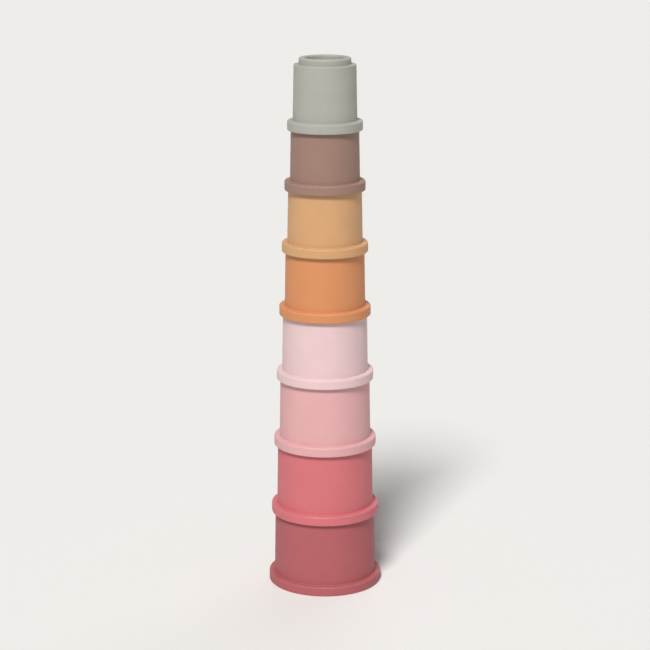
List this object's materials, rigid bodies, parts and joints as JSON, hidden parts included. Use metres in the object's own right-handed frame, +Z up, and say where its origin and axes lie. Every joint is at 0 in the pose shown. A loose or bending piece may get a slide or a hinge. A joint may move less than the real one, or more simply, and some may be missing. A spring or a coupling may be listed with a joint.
{
  "type": "stacking cup tower",
  "caption": "Tower of round nesting cups in graded sizes and muted colours, each mouth down on the ring and shoulder of the cup below.",
  "frame": {"origin": "centre of the lowest cup's rim, on the surface that the tower stands on", "axes": "+Z up along the cups' common axis; X and Y are alike, because every cup is round"},
  "size_m": [0.096, 0.096, 0.45],
  "materials": {
    "mulberry_plastic": "fine matte texture",
    "rose_plastic": "fine matte texture",
    "pink_plastic": "fine matte texture",
    "blush_plastic": "fine matte texture",
    "ochre_plastic": "fine matte texture",
    "sand_plastic": "fine matte texture",
    "taupe_plastic": "fine matte texture",
    "sage_plastic": "fine matte texture"
  },
  "bodies": {
    "cup_1_mulberry": {"cup_1_mulberry": "mulberry_plastic"},
    "cup_2_rose": {"cup_2_rose": "rose_plastic"},
    "cup_3_pink": {"cup_3_pink": "pink_plastic"},
    "cup_4_blush": {"cup_4_blush": "blush_plastic"},
    "cup_5_ochre": {"cup_5_ochre": "ochre_plastic"},
    "cup_6_sand": {"cup_6_sand": "sand_plastic"},
    "cup_7_taupe": {"cup_7_taupe": "taupe_plastic"},
    "cup_8_sage": {"cup_8_sage": "sage_plastic"}
  },
  "joints": [
    {"name": "cup_2_lift", "type": "slide", "parent": "cup_1_mulberry", "child": "cup_2_rose", "axis": [0, 0, 1], "range_m": [0, 0.03]},
    {"name": "cup_3_lift", "type": "slide", "parent": "cup_2_rose", "child": "cup_3_pink", "axis": [0, 0, 1], "range_m": [0, 0.03]},
    {"name": "cup_4_lift", "type": "slide", "parent": "cup_3_pink", "child": "cup_4_blush", "axis": [0, 0, 1], "range_m": [0, 0.03]},
    {"name": "cup_5_lift", "type": "slide", "parent": "cup_4_blush", "child": "cup_5_ochre", "axis": [0, 0, 1], "range_m": [0, 0.03]},
    {"name": "cup_6_lift", "type": "slide", "parent": "cup_5_ochre", "child": "cup_6_sand", "axis": [0, 0, 1], "range_m": [0, 0.03]},
    {"name": "cup_7_lift", "type": "slide", "parent": "cup_6_sand", "child": "cup_7_taupe", "axis": [0, 0, 1], "range_m": [0, 0.03]},
    {"name": "cup_8_lift", "type": "slide", "parent": "cup_7_taupe", "child": "cup_8_sage", "axis": [0, 0, 1], "range_m": [0, 0.03]}
  ]
}
